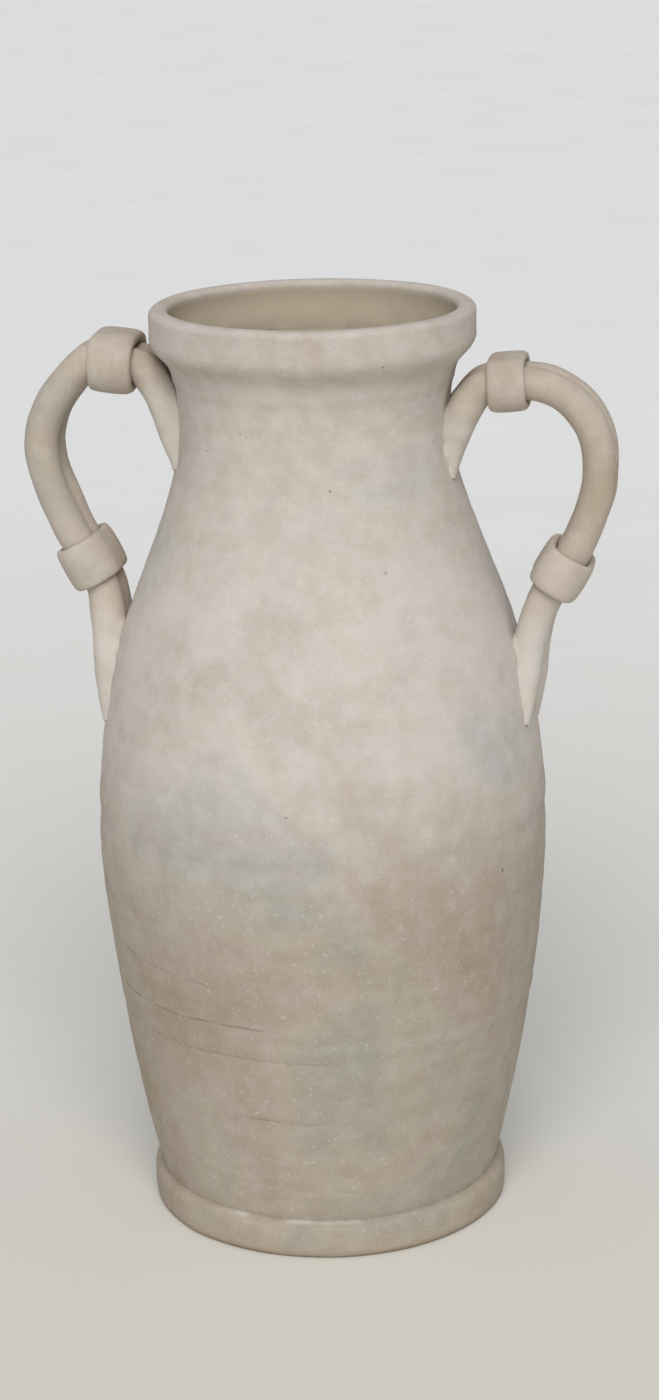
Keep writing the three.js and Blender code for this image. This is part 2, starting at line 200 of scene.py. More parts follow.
# How the bands were pressed round the coils. A softness below 1 squares a circle off.
BAND_CLEARANCE = 0.0001
BAND_SOFT_ALONG = 0.46
BAND_SOFT_THROUGH = 0.62
BAND_PILLOW = 0.0004
BAND_THICK_SHARE = 0.12
BAND_THICK_FINENESS = 60
BAND_THICK_REACH = 0.01
BAND_WAVE = 0.0006
BAND_WAVE_FINENESS = 45
BAND_WAVE_SHIFT = Vector((2, 9, 4))
BAND_KNEAD = 0.0004
BAND_KNEAD_FINENESS = 70

# Coils and bands are kneaded by a noise that would differ in each run if it had no seed.
KNEAD_SEED = 7
noise.seed_set(KNEAD_SEED)

# Fineness of the modelled surfaces.
TURN_STEPS = 160
OUTSIDE_STEP = 0.002
INSIDE_STEP = 0.006
FACE_STEP = 0.003
ARC_STEPS = 7
FOOT_SHOULDER_STEPS = 10
FEATHER_STEPS = 6
UNDERSIDE_STEPS = 24
MOUTH_STEPS = 12
COIL_SIDES = 28
TAIL_STEPS = 44
BAND_STEPS = 5
LOOP_STEPS = 34
BAND_SIDES = 24
BAND_ROUND_STEPS = 18
BAND_FLAT_STEPS = 8
CURVE_SAMPLES = 200
SEARCH_STEPS = 22
SLOPE_STEP = 0.0005
TINY = 1e-6  # a shorter length counts as none
AXIS_CLEARANCE = 0.02  # nearer the axis nothing is uneven

# Edges that turn by more degrees than this stay sharp.
TURNED_CREASE = 38
COIL_CREASE = 70
BAND_CREASE = 80

# Which faces are bare inside clay, by how far they look outwards or upwards.
LOOKS_INWARD = -0.15
LOOKS_UPWARD = 0.1
INSIDE_FLOOR_RISE = 0.02
INSIDE_FLOOR_RADIUS = 0.098

# Camera: it stands a little to the right of the vase's front.
CAMERA_TURN = 9.0
CAMERA_DISTANCE = 1.8648
CAMERA_HEIGHT = 0.8747
CAMERA_PITCH = 16.62
CAMERA_ROLL = -1.20
CAMERA_YAW = 0.16
CAMERA_LENS = 82.59
CAMERA_SENSOR = 36


def add_camera():
    pitch, roll, yaw = (math.radians(a) for a in (CAMERA_PITCH, CAMERA_ROLL, CAMERA_YAW))
    ahead = Vector((math.sin(yaw) * math.cos(pitch), math.cos(yaw) * math.cos(pitch), -math.sin(pitch)))
    level = Vector((math.cos(yaw), -math.sin(yaw), 0))
    above = level.cross(ahead)
    right = level * math.cos(roll) + above * math.sin(roll)
    up = above * math.cos(roll) - level * math.sin(roll)
    turn = Matrix.Rotation(math.radians(CAMERA_TURN), 4, "Z")
    axes = Matrix((right, up, -ahead)).transposed().to_4x4()
    place = Matrix.Translation((0, -CAMERA_DISTANCE, CAMERA_HEIGHT))
    data = bpy.data.cameras.new("photo_view")
    data.lens = CAMERA_LENS
    data.sensor_width = CAMERA_SENSOR
    camera = bpy.data.objects.new("photo_view", data)
    camera.matrix_world = turn @ place @ axes
    bpy.context.scene.collection.objects.link(camera)
    bpy.context.scene.camera = camera


# The vessel's outline and how the hand left it uneven.


def curve_point(corners, t):
    a, b, c, d = corners
    s = 1 - t
    return a * s**3 + b * (3 * s * s * t) + c * (3 * s * t * t) + d * t**3


def outline_radius(corners, z):
    """Radius of an outline at a height: halves the stretch that holds the height, many times."""
    low, high = 0.0, 1.0
    for _ in range(SEARCH_STEPS):
        middle = (low + high) / 2
        if curve_point(corners, middle).y < z:
            low = middle
        else:
            high = middle
    return curve_point(corners, low).x


def wall_radius(z):
    if z < FOOT_HEIGHT:
        return FOOT_WALL_RADIUS
    if z < BELLY_Z:
        return outline_radius(LOWER_OUTLINE, z)
    if z < NECK_Z:
        return outline_radius(UPPER_OUTLINE, z)
    return NECK_RADIUS + (z - NECK_Z) ** 2 / (2 * NECK_FLARE_RADIUS)


def wall_slope(z):
    return (wall_radius(z + SLOPE_STEP) - wall_radius(z - SLOPE_STEP)) / (2 * SLOPE_STEP)


def inner_radius(z):
    return wall_radius(z) - WALL * math.hypot(1, wall_slope(z))


def bell(x, centre, width):
    return math.exp(-(((x - centre) / width) ** 2))


def swell(z, swells):
    return sum(height * bell(z, centre, width) for height, centre, width in swells)


def unevenness(angle, z):
    """How far the potter's hand left the wall out of round at a place, outwards."""
    place = Vector((math.cos(angle) * BUMP_RADIUS, math.sin(angle) * BUMP_RADIUS, z))
    slow = sum(noise.noise(place * fineness) * height for fineness, height in SLOW_BUMPS)
    drift = z + RIDGE_DRIFT * noise.noise(place * DRIFT_FINENESS)
    fine_ridges = FINE_RIDGE_SHARE * math.sin(drift * 2 * math.pi / FINE_RIDGE_PITCH)
    ridges = math.sin(drift * 2 * math.pi / RIDGE_PITCH) + fine_ridges
    strength = 0.5 + 0.5 * noise.noise(place * RIDGE_FINENESS + RIDGE_SHIFT)
    thrown = ridges * RIDGE_HEIGHT * strength
    step_out = swell(z, STEP_SWELLS) * (0.5 + noise.noise(place * STEP_FINENESS))
    return slow + thrown + swell(z, SEAM_SWELLS) + step_out


def radius_and_wall(place):
    """A place's distance from the axis, and that of the wall's surface beside it."""
    angle = math.atan2(place.y, place.x)
    return math.hypot(place.x, place.y), wall_radius(place.z) + unevenness(angle, place.z)


# Making pieces.


def heights(from_z, to_z, step):
    count = max(2, round(abs(to_z - from_z) / step))
    return [from_z + (to_z - from_z) * i / count for i in range(count + 1)]


def arc(centre_r, centre_z, radius, from_degrees, to_degrees, steps=ARC_STEPS):
    points = []
    for i in range(steps + 1):
        angle = math.radians(from_degrees + (to_degrees - from_degrees) * i / steps)
        points.append((centre_r + radius * math.cos(angle), centre_z + radius * math.sin(angle)))
    return points


def finish_piece(name, bm, material, crease_degrees):
    """Merges doubled corners, turns the faces outwards, smooths the piece and links it."""
    bmesh.ops.remove_doubles(bm, verts=bm.verts, dist=TINY)
    bmesh.ops.recalc_face_normals(bm, faces=bm.faces)
    limit = math.radians(crease_degrees)
    for face in bm.faces:
        face.smooth = True
    for edge in bm.edges:
        edge.smooth = edge.calc_face_angle(0) < limit
    mesh = bpy.data.meshes.new(name)
    bm.to_mesh(mesh)
    bm.free()
    mesh.materials.append(material)
    piece = bpy.data.objects.new(name, mesh)
    bpy.context.scene.collection.objects.link(piece)
    return piece


def turned(profile, closed):
    """A profile of (radius, height) spun round the vessel's axis and left a little uneven."""
    bm = bmesh.new()
    verts = [bm.verts.new((r, 0, z)) for r, z in profile]
    pairs = list(zip(verts, verts[1:]))
    if closed:
        pairs.append((verts[-1], verts[0]))
    edges = [bm.edges.new(pair) for pair in pairs]
    bmesh.ops.spin(
        bm, geom=verts + edges, cent=(0, 0, 0), axis=(0, 0, 1), dvec=(0, 0, 0),
        angle=2 * math.pi, steps=TURN_STEPS, use_merge=True,
    )
    bmesh.ops.remove_doubles(bm, verts=bm.verts, dist=TINY)
    for vert in bm.verts:
        radius = math.hypot(vert.co.x, vert.co.y)
        if radius > AXIS_CLEARANCE:
            angle = math.atan2(vert.co.y, vert.co.x)
            grown = 1 + unevenness(angle, vert.co.z) / radius
            vert.co.x *= grown
            vert.co.y *= grown
    return bm


def line_inside(piece, material):
    """Gives the faces that look towards the axis, and the inside floor, the bare clay."""
    piece.data.materials.append(material)
    for polygon in piece.data.polygons:
        centre = polygon.center
        outward = Vector((centre.x, centre.y, 0))
        low = centre.z < FLOOR + INSIDE_FLOOR_RISE
        if outward.length > AXIS_CLEARANCE and polygon.normal.dot(outward.normalized()) < LOOKS_INWARD:
            polygon.material_index = 1
        elif low and polygon.normal.z > LOOKS_UPWARD and outward.length < INSIDE_FLOOR_RADIUS:
            polygon.material_index = 1
    return piece


def seam_middle():
    return (wall_radius(SEAM_Z) + inner_radius(SEAM_Z)) / 2


def lower_body(material):
    """Lower thrown section: flat base, wall, V notch in its edge, inside wall, fillet and floor."""
    fillet_z = FLOOR + FLOOR_FILLET
    profile = [(0, 0)]
    profile += [(wall_radius(z), z) for z in heights(0, SEAM_Z, OUTSIDE_STEP)]
    profile += [(seam_middle(), SEAM_Z - NOTCH_DEPTH)]
    profile += [(inner_radius(z), z) for z in heights(SEAM_Z, fillet_z, INSIDE_STEP)]
    profile += arc(inner_radius(fillet_z) - FLOOR_FILLET, fillet_z, FLOOR_FILLET, 0, -90)[1:]
    profile += [(0, FLOOR)]
    return finish_piece("lower_body_clay", turned(profile, False), material, TURNED_CREASE)


def upper_body(material):
    """Upper thrown section: a wedge that fits the notch, then shoulder and neck in one."""
    profile = [(seam_middle(), SEAM_Z - WEDGE_DEPTH)]
    profile += [(wall_radius(z), z) for z in heights(SEAM_Z, NECK_TOP_Z, OUTSIDE_STEP)]
    profile += [(inner_radius(z), z) for z in heights(NECK_TOP_Z, SEAM_Z, INSIDE_STEP)]
    return finish_piece("upper_body_clay", turned(profile, True), material, TURNED_CREASE)


def foot_ring(material):
    """Coil pressed round the base: worn arris below, full face, round top that dips to the wall."""
    outer = FOOT_WALL_RADIUS + FOOT_RING_OUT
    profile = [(FOOT_WALL_RADIUS - FOOT_RING_SUNK, 0)]
    inset, z, radius = FOOT_ARRIS
    profile += arc(outer - inset, z, radius, -90, -8)
    profile += [(outer + out, z) for out, z in FOOT_FACE]
    inset, z, radius = FOOT_SHOULDER
    profile += arc(outer - inset, z, radius, 8, 92, FOOT_SHOULDER_STEPS)
    profile += [(FOOT_WALL_RADIUS + out, z) for out, z in FOOT_TOP]
    bm = turned(profile, True)
    for vert in bm.verts:
        if vert.co.z > FOOT_FLAT_Z:
            vert.co.z += FOOT_WAVE * noise.noise(vert.co * FOOT_WAVE_FINENESS)
    return finish_piece("foot_ring_clay", bm, material, TURNED_CREASE)


def collar_underside(face_z):
    """Profile of the collar from where it feathers out on the neck up to its upright face."""
    foot_z = COLLAR_Z + UNDERSIDE_RISE
    underside = (
        Vector((wall_radius(foot_z), foot_z)),
        Vector((wall_radius(foot_z) - UNDERSIDE_IN, foot_z + UNDERSIDE_UP)),
        Vector((COLLAR_RADIUS - FACE_ROUND_IN, face_z - FACE_ROUND_DOWN)),
        Vector((COLLAR_RADIUS, face_z)),
    )
    profile = []
    for i in range(FEATHER_STEPS):
        share = i / FEATHER_STEPS
        z = foot_z - COLLAR_FEATHER * (1 - share)
        profile.append((wall_radius(z) - COLLAR_SUNK + (COLLAR_BLEND / 2 + COLLAR_SUNK) * share**2, z))
    for i in range(UNDERSIDE_STEPS + 1):
        radius, z = curve_point(underside, i / UNDERSIDE_STEPS)
        proud = radius - wall_radius(z)
        profile.append((wall_radius(z) + (proud + math.hypot(proud, COLLAR_BLEND)) / 2, z))
    return profile


def rim_collar(material):
    """Collar that feathers out on the neck, with a rounded underside, upright face and lip."""
    face_z = COLLAR_Z + FACE_RISE
    lip_round_z = LIP_Z - LIP_ROUND
    lip_inner = COLLAR_RADIUS - LIP_WIDTH
    throat = inner_radius(NECK_TOP_Z) - MOUTH_PROUD
    mouth = (
        Vector((lip_inner, lip_round_z)),
        Vector((lip_inner, LIP_Z - MOUTH_DROP)),
        Vector((throat, NECK_TOP_Z + MOUTH_PULL)),
        Vector((throat, NECK_TOP_Z)),
    )
    profile = collar_underside(face_z)
    profile += [(COLLAR_RADIUS, z) for z in heights(face_z, lip_round_z, FACE_STEP)[1:]]
    profile += arc(COLLAR_RADIUS - LIP_ROUND, lip_round_z, LIP_ROUND, 0, 90)[1:]
    profile += arc(lip_inner + LIP_ROUND, lip_round_z, LIP_ROUND, 90, 180)
    profile += [tuple(curve_point(mouth, i / MOUTH_STEPS)) for i in range(1, MOUTH_STEPS + 1)]
    profile += [(wall_radius(z) - LAP_SUNK, z) for z in heights(NECK_TOP_Z, COLLAR_Z, INSIDE_STEP)]
    bm = turned(profile, True)
    for vert in bm.verts:
        if vert.co.z > COLLAR_Z + COLLAR_WAVE_RISE:
            wave = noise.noise(vert.co * COLLAR_WAVE_FINENESS + COLLAR_WAVE_SHIFT)
            vert.co.z += COLLAR_WAVE * wave
    press_dents(bm)
    return finish_piece("rim_collar_clay", bm, material, TURNED_CREASE)


def press_dents(bm):
    for vert in bm.verts:
        radius = math.hypot(vert.co.x, vert.co.y)
        if radius > COLLAR_RADIUS - LIP_WIDTH + DENT_MARGIN:
            continue
        azimuth = math.degrees(math.atan2(vert.co.y, vert.co.x))
        for centre, z in FINGER_DENTS:
            across = math.radians((azimuth - centre + 180) % 360 - 180) * radius
            depth = DENT_DEPTH * bell(across, 0, DENT_WIDTH) * bell(vert.co.z, z, DENT_HEIGHT)
            vert.co.x *= 1 + depth / radius
            vert.co.y *= 1 + depth / radius


# Handles.


def heading(degrees):
    return Vector((math.cos(math.radians(degrees)), math.sin(math.radians(degrees))))


def upper_middle(handle):
    band = handle["upper"]
    return Vector((COLLAR_RADIUS + band["gap"] + band["width"] / 2, NECK_Z + band["rise"]))


def lower_middle(handle):
    band = handle["lower"]
    z = NECK_Z - band["drop"]
    return Vector((wall_radius(z) + band["gap"], z))


def straight(start, end):
    return (start, start.lerp(end, 1 / 3), start.lerp(end, 2 / 3), end)


def coil_route(handle, tips):
    """Curves of a coil in the handle's plane: neck end, band, two half loops, band, shoulder end."""
    neck_drop, _, shoulder_drop, _, _ = tips
    upper, lower = handle["upper"], handle["lower"]
    reach, reach_drop, pull_up, pull_down = handle["reach"]

    def on_wall(z):
        return Vector((wall_radius(z) + COIL_TIP_LIFT, z))

    def up_wall(z):
        return Vector((wall_slope(z), 1)).normalized()

    neck_tip = on_wall(NECK_Z - neck_drop)
    shoulder_tip = on_wall(NECK_Z - shoulder_drop)
    upper_way, lower_way = heading(upper["tilt"]), heading(lower["tilt"])
    upper_start = upper_middle(handle) - upper_way * upper["width"] / 2
    upper_end = upper_middle(handle) + upper_way * upper["width"] / 2
    lower_start = lower_middle(handle) - lower_way * lower["width"] / 2
    lower_end = lower_middle(handle) + lower_way * lower["width"] / 2
    outermost = Vector((upper_middle(handle).x + reach, NECK_Z - reach_drop))
    up = Vector((0, 1))
    return [
        (neck_tip, neck_tip + up_wall(neck_tip.y) * handle["neck_pull"],
         upper_start - upper_way * upper["pull_in"], upper_start),
        straight(upper_start, upper_end),
        (upper_end, upper_end + upper_way * upper["pull_out"], outermost + up * pull_up, outermost),
        (outermost, outermost - up * pull_down, lower_start - lower_way * lower["pull_in"], lower_start),
        straight(lower_start, lower_end),
        (lower_end, lower_end + lower_way * lower["pull_out"],
         shoulder_tip + up_wall(shoulder_tip.y) * handle["shoulder_pull"], shoulder_tip),
    ]


def evenly(corners, steps):
    """Points of a curve at even lengths along it."""
    fine = [curve_point(corners, i / CURVE_SAMPLES) for i in range(CURVE_SAMPLES + 1)]
    lengths = [0.0]
    for a, b in zip(fine, fine[1:]):
        lengths.append(lengths[-1] + (b - a).length)
    points, k = [], 0
    for i in range(steps + 1):
        goal = lengths[-1] * i / steps
        while k < CURVE_SAMPLES - 1 and lengths[k + 1] < goal:
            k += 1
        share = (goal - lengths[k]) / (lengths[k + 1] - lengths[k])
        points.append(fine[k].lerp(fine[k + 1], min(1, share)))
    return points


def coil_stations(handle, tips, face):
    """Centre, radius and tail share (0 at the band, 1 at the tip) at each station of a coil."""
    _, neck_spread, _, shoulder_spread, lateness = tips
    apart = COIL_RADIUS + HALF_GAP
    route = coil_route(handle, tips)
    last = len(route) - 1
    counts = (TAIL_STEPS, BAND_STEPS, LOOP_STEPS, LOOP_STEPS, BAND_STEPS, TAIL_STEPS)
    stations = []
    for part, (corners, count) in enumerate(zip(route, counts)):
        points = evenly(corners, count)
        for i in range(0 if part == 0 else 1, count + 1):
            along = i / count
            tail, spread = 0, apart
            if part == 0:
                tail, spread = 1 - along, neck_spread
            if part == last:
                tail, spread = along, shoulder_spread
            flat = points[i]
            y = face * (apart + (spread - apart) * tail**lateness)
            x = math.sqrt(flat.x**2 - y**2)
            taper = 1 - tail**TAIL_FULLNESS
            radius = COIL_TIP_RADIUS + (COIL_RADIUS - COIL_TIP_RADIUS) * taper
            centre = Vector((x * handle["out"], y * handle["out"], flat.y))
            stations.append((centre, radius, tail))
    return stations


def ring(bm, centre, direction, sides, radius):
    """A circle of edges square to a direction, with its first corner kept to the handle's plane."""
    outward = Vector((0, 1, 0)).cross(direction).normalized()
    across = direction.cross(outward)
    axes = Matrix((outward, across, direction)).transposed().to_4x4()
    made = bmesh.ops.create_circle(
        bm, cap_ends=False, radius=radius, segments=sides, matrix=Matrix.Translation(centre) @ axes
    )
    return made["verts"]


def edges_of(verts):
    members = set(verts)
    return [e for v in verts for e in v.link_edges if e.other_vert(v) in members and e.verts[0] == v]


def coil(handle, face_name, face, material):
    """A hand-rolled coil: lumpy, drawn to a point at each end, and luted where it meets the wall."""
    stations = coil_stations(handle, handle[face_name], face)
    bm = bmesh.new()
    whiten = bm.verts.layers.float.new("slip_white")
    rows = []
    for i, (centre, radius, tail) in enumerate(stations):
        ahead = stations[min(i + 1, len(stations) - 1)][0]
        behind = stations[max(i - 1, 0)][0]
        lump = LUMP * noise.noise(centre * LUMP_FINENESS)
        small_lump = SMALL_LUMP * noise.noise(centre * SMALL_LUMP_FINENESS)
        rolled = radius * (1 + lump + small_lump)
        verts = ring(bm, centre, (ahead - behind).normalized(), COIL_SIDES, rolled)
        for vert in verts:
            vert[whiten] = tail
            lute(vert, centre, tail)
        rows.append(verts)
    for here, following in zip(rows, rows[1:]):
        bmesh.ops.bridge_loops(bm, edges=edges_of(here) + edges_of(following))
    for end in (rows[0], rows[-1]):
        bmesh.ops.contextual_create(bm, geom=edges_of(end))
    for vert in bm.verts:
        vert.co += noise.noise_vector(vert.co * COIL_KNEAD_FINENESS) * COIL_KNEAD
    return finish_piece(f"{handle['side']}_{face_name}_coil_clay", bm, material, COIL_CREASE)


def lute(vert, centre, tail):
    """Presses a corner of a coil on the wall where it reaches in, and draws its foot outwards."""
    if tail == 0:
        return
    radius, wall = radius_and_wall(vert.co)
    above = radius - wall
    if above < FILLET:
        angle = math.atan2(vert.co.y, vert.co.x)
        out = Vector((math.cos(angle), math.sin(angle), -wall_slope(vert.co.z))).normalized()
        aside = vert.co - centre
        aside -= out * aside.dot(out)
        if aside.length > TINY:
            share = 1 - max(above, 0) / FILLET
            uneven = FILLET_EVEN + FILLET_UNEVEN * noise.noise(vert.co * FILLET_FINENESS)
            vert.co += aside.normalized() * FILLET_SPREAD * uneven * share**2
    radius, wall = radius_and_wall(vert.co)
    if radius < wall - LUTE_DEPTH:
        vert.co.x *= (wall - LUTE_DEPTH) / radius
        vert.co.y *= (wall - LUTE_DEPTH) / radius


def soft_corner(value, power):
    return math.copysign(abs(value) ** power, value)


def band_path(apart):
    """The way round both coils: (shift along the pair, angle), a half turn and a flat at a time."""
    path = []
    for side, start in ((1, 0), (-1, 180)):
        for i in range(BAND_ROUND_STEPS + 1):
            path.append((side * apart, math.radians(start + 180 * i / BAND_ROUND_STEPS)))
        for i in range(1, BAND_FLAT_STEPS):
            path.append((side * apart * (1 - 2 * i / BAND_FLAT_STEPS), math.radians(start + 180)))
    return path


def band(handle, which, middle, material):
    """A flat clay strip wrapped round both coils: a soft rectangle led round the pair."""
    spec = handle[which]
    width = spec["width"]
    inside = COIL_RADIUS + BAND_CLEARANCE
    way = heading(spec["tilt"])
    out = handle["out"]
    along = Vector((way.x * out, 0, way.y))
    aside = Vector((0, 1, 0))
    lift = along.cross(aside)
    centre = Vector((middle.x * out, 0, middle.y))
    bm = bmesh.new()
    rows = []
    for shift, angle in band_path(COIL_RADIUS + HALF_GAP):
        normal = lift * math.cos(angle) + aside * math.sin(angle)
        spot = centre + aside * shift
        swelling = noise.noise((spot + normal * BAND_THICK_REACH) * BAND_THICK_FINENESS)
        thick = spec["thick"] * (1 + BAND_THICK_SHARE * swelling)
        core = spot + normal * (inside + thick / 2)
        axes = Matrix((along, normal, along.cross(normal))).transposed().to_4x4()
        made = bmesh.ops.create_circle(
            bm, cap_ends=False, radius=1, segments=BAND_SIDES, matrix=Matrix.Identity(4)
        )
        wave = BAND_WAVE * noise.noise(core * BAND_WAVE_FINENESS + BAND_WAVE_SHIFT)
        for vert in made["verts"]:
            a = soft_corner(vert.co.x, BAND_SOFT_ALONG) * (width / 2)
            b = soft_corner(vert.co.y, BAND_SOFT_THROUGH) * (thick / 2)
            pillow = b + (BAND_PILLOW * (1 - (2 * a / width) ** 2) if b > 0 else 0)
            vert.co = axes @ Vector((a + wave, pillow, 0)) + core
        rows.append(made["verts"])
    for here, following in zip(rows, rows[1:] + rows[:1]):
        bmesh.ops.bridge_loops(bm, edges=edges_of(here) + edges_of(following))
    for vert in bm.verts:
        vert.co += noise.noise_vector(vert.co * BAND_KNEAD_FINENESS) * BAND_KNEAD
    return finish_piece(f"{handle['side']}_{which}_band_clay", bm, material, BAND_CREASE)


# Clay materials.


class Nodes:
    """Short calls for building a material."""

    def __init__(self, name):
        self.material = bpy.data.materials.new(name)
        self.material.use_nodes = True
        self.tree = self.material.node_tree
        self.tree.nodes.clear()

    def add(self, kind, inputs=None, **settings):
        node = self.tree.nodes.new(kind)
        for key, value in settings.items():
            setattr(node, key, value)
        for key, value in (inputs or {}).items():
            if isinstance(value, bpy.types.NodeSocket):
                self.tree.links.new(value, node.inputs[key])
            else:
                node.inputs[key].default_value = value
        return node

    def pattern(self, where, stretch, shift, fineness, detail, rough, warp):
        placed = self.add("ShaderNodeMapping", {"Vector": where, "Scale": stretch, "Location": shift})
        return self.add(
            "ShaderNodeTexNoise",
            {"Vector": placed.outputs[0], "Scale": fineness, "Detail": detail,
             "Roughness": rough, "Distortion": warp},
        ).outputs["Fac"]

    def range(self, value, low, high, to_low=0, to_high=1):
        return self.add(
            "ShaderNodeMapRange",
            {"Value": value, "From Min": low, "From Max": high, "To Min": to_low, "To Max": to_high},
            interpolation_type="SMOOTHSTEP",
        ).outputs[0]

    def chain(self, operation, first, *others):
        """Joins values by one operation, from left to right."""
        for other in others:
            first = self.add("ShaderNodeMath", {0: first, 1: other}, operation=operation).outputs[0]
        return first

    def mix(self, share, a, b, blend="MIX"):
        node = self.add("ShaderNodeMix", {0: share, 6: a, 7: b}, data_type="RGBA", blend_type=blend)
        return node.outputs[2]

    def ramp(self, value, stops):
        node = self.add("ShaderNodeValToRGB", {"Fac": value})
        ramp = node.color_ramp
        while len(ramp.elements) < len(stops):
            ramp.elements.new(0.5)
        for element, (place, color) in zip(ramp.elements, stops):
            element.position = place
            element.color = color
        return node.outputs[0]


def shade(red, green, blue):
    """A screen colour of 0 to 255, none of them near black, as the linear colour of a material."""
    linear = [((part / 255 + 0.055) / 1.055) ** 2.4 for part in (red, green, blue)]
    return (*linear, 1.0)


TAN = shade(190, 178, 162)
PINK = shade(200, 190, 183)
CREAM = shade(205, 197, 187)
COOL = shade(192, 190, 186)
# Painted highlight laid on the shoulder.
SHOULDER_PAINTED_HIGHLIGHT = shade(217, 208, 202)
WHITE_SLIP = shade(216, 212, 206)
INSIDE_TAN = shade(172, 158, 136)
MOTTLE_DARK = shade(170, 156, 140)
MOTTLE_LIGHT = shade(218, 211, 205)
SPECK_LIGHT = shade(228, 224, 218)
GRAIN_DARK = shade(150, 138, 122)
# Painted shade laid in the incised lines.
GROOVE_PAINTED_SHADE = shade(128, 116, 102)
# Painted shade laid in the pits.
PIT_PAINTED_SHADE = shade(104, 92, 78)
FOOT_WORN = shade(150, 130, 108)
# Painted shade for the lower body, which faces down away from the light.
LOWER_PAINTED_SHADE = (0.76, 0.73, 0.67, 1)
WARM_LOSS = (0.35, 0.47, 0.66)  # of red, green and blue, in clay that is all warm

# Patterns in the slip and the clay: (stretch, shift, fineness, detail, roughness, warp).
SLIP_PATTERNS = {
    "clouds": ((1, 1, 0.8), (0, 0, 0), 9, 5, 0.55, 0.6),
    "drifts": ((1, 1, 1.3), (4, 2, 7), 24, 6, 0.6, 0.4),
    "streaks": ((7, 7, 60), (1, 1, 1), 1.0, 5, 0.6, 0.2),
    "mottle": ((1, 1, 1), (9, 3, 2), 75, 5, 0.65, 0),
    "speck": ((1, 1, 1), (0, 0, 0), 420, 3, 0.6, 0),
    "grain": ((1, 1, 1), (0, 0, 0), 1500, 2, 0.5, 0),
}
GROOVE_WAVES = ((1, 1, 0.2), (0, 0, 0), 14, 3, 0.55, 0)
GROOVE_BREAKS = ((1, 1, 0.3), (0, 5, 0), 45, 3, 0.55, 0)
SMEARS = ((1, 1, 3), (0, 0, 0), 30, 4, 0.55, 0)

# Clouds of slip along a slow pattern, and washes over them: (pattern, where it starts, where it is
# full, most cover, colour). Places in a pattern run from 0 to 1.
CLOUDS = ((0.36, TAN), (0.46, PINK), (0.54, CREAM), (0.64, COOL))
WASHES = (
    ("drifts", 0.42, 0.72, 0.55, PINK),
    ("streaks", 0.45, 0.70, 0.30, TAN),
    ("mottle", 0.56, 0.36, 0.20, MOTTLE_DARK),
    ("mottle", 0.52, 0.68, 0.28, MOTTLE_LIGHT),
)
GRAINS = (
    ("speck", 0.58, 0.74, 0.35, SPECK_LIGHT),
    ("grain", 0.56, 0.75, 0.22, GRAIN_DARK),
)

# Spans: the two values of a place or a pattern between which an effect goes from its least to its
# most, which are 0 and 1 where they don't follow.
HIGHLIGHT_GROWS = (0.27, 0.33)
HIGHLIGHT_FADES = (0.47, 0.39)
HIGHLIGHT_PATCHES = (0.38, 0.60, 0.15, 1)
LOWER_SHADE_GROWS = (0.32, 0.19)
GROOVE_GAPS = (0.38, 0.56)
GROOVE_FRONT = (0.0, -0.03)
INSIDE_BARES = (LIP_Z - 0.0005, LIP_Z - 0.007, 0, 0.85)
SMEAR_RISES = (0.0208, 0.0224, 0, 0.6)
SMEAR_PATCHES = (0.46, 0.60)
SMEAR_FRONT = (-0.085, -0.100)
ARRIS_RUBS = (0.006, 0.001)
ARRIS_PATCHES = (0.35, 0.6, 0.5, 1)
TAIL_WHITENS = (0.05, 0.45)
TAIL_PATCHES = (0.30, 0.55, 0.20, 0.55)
ROUGHNESS = (0.3, 0.7, 0.97, 0.84)

# Most cover of the painted highlight on the shoulder, and of the clay that shows on the rubbed arris.
HIGHLIGHT_COVER = 0.5
ARRIS_COVER = 0.75

# Pits: (cells to a metre, size in a cell, share of the cells without one, strength).
PITS = ((34, 0.060, 0.93, 0.9), (95, 0.10, 0.95, 0.55))
PIT_CORE = 0.35
PICK_SOFTNESS = 0.004

# Relief: how much each pattern lifts the surface, where a pit sinks it by 1.
RELIEF = (("mottle", 0.55), ("speck", 0.16), ("grain", 0.05), ("streaks", 0.5))
RELIEF_STRENGTH = 0.55
RELIEF_HEIGHT = 0.0012
GLOSS = 0.22

# Incised lines on the front of the lower body: (height, lean along x, from x, to x, depth).
GROOVES = (
    (0.153, 0.0, -0.120, -0.010, 0.42),
    (0.172, 0.10, -0.120, -0.030, 0.20),
    (0.133, 0.0, -0.090, 0.030, 0.18),
    (0.092, 0.0, -0.030, 0.020, 0.22),
)
GROOVE_WOBBLE = 0.006
GROOVE_HALF_WIDTH = 0.0013
GROOVE_FLAT = 0.0003
GROOVE_FADE = 0.02
GROOVE_FULL = 0.01
GROOVE_RELIEF = 1.6


def patterns(n):
    """The place on the piece, and the patterns that colour, relief and gloss share."""
    where = n.add("ShaderNodeTexCoord").outputs["Object"]
    x, y, height = n.add("ShaderNodeSeparateXYZ", {0: where}).outputs
    shared = {"where": where, "x": x, "y": y, "height": height}
    for name, settings in SLIP_PATTERNS.items():
        shared[name] = n.pattern(where, *settings)
    return shared


def wash(n, p, color, washes):
    for pattern, start, full, cover, over in washes:
        color = n.mix(n.range(p[pattern], start, full, 0, cover), color, over)
    return color


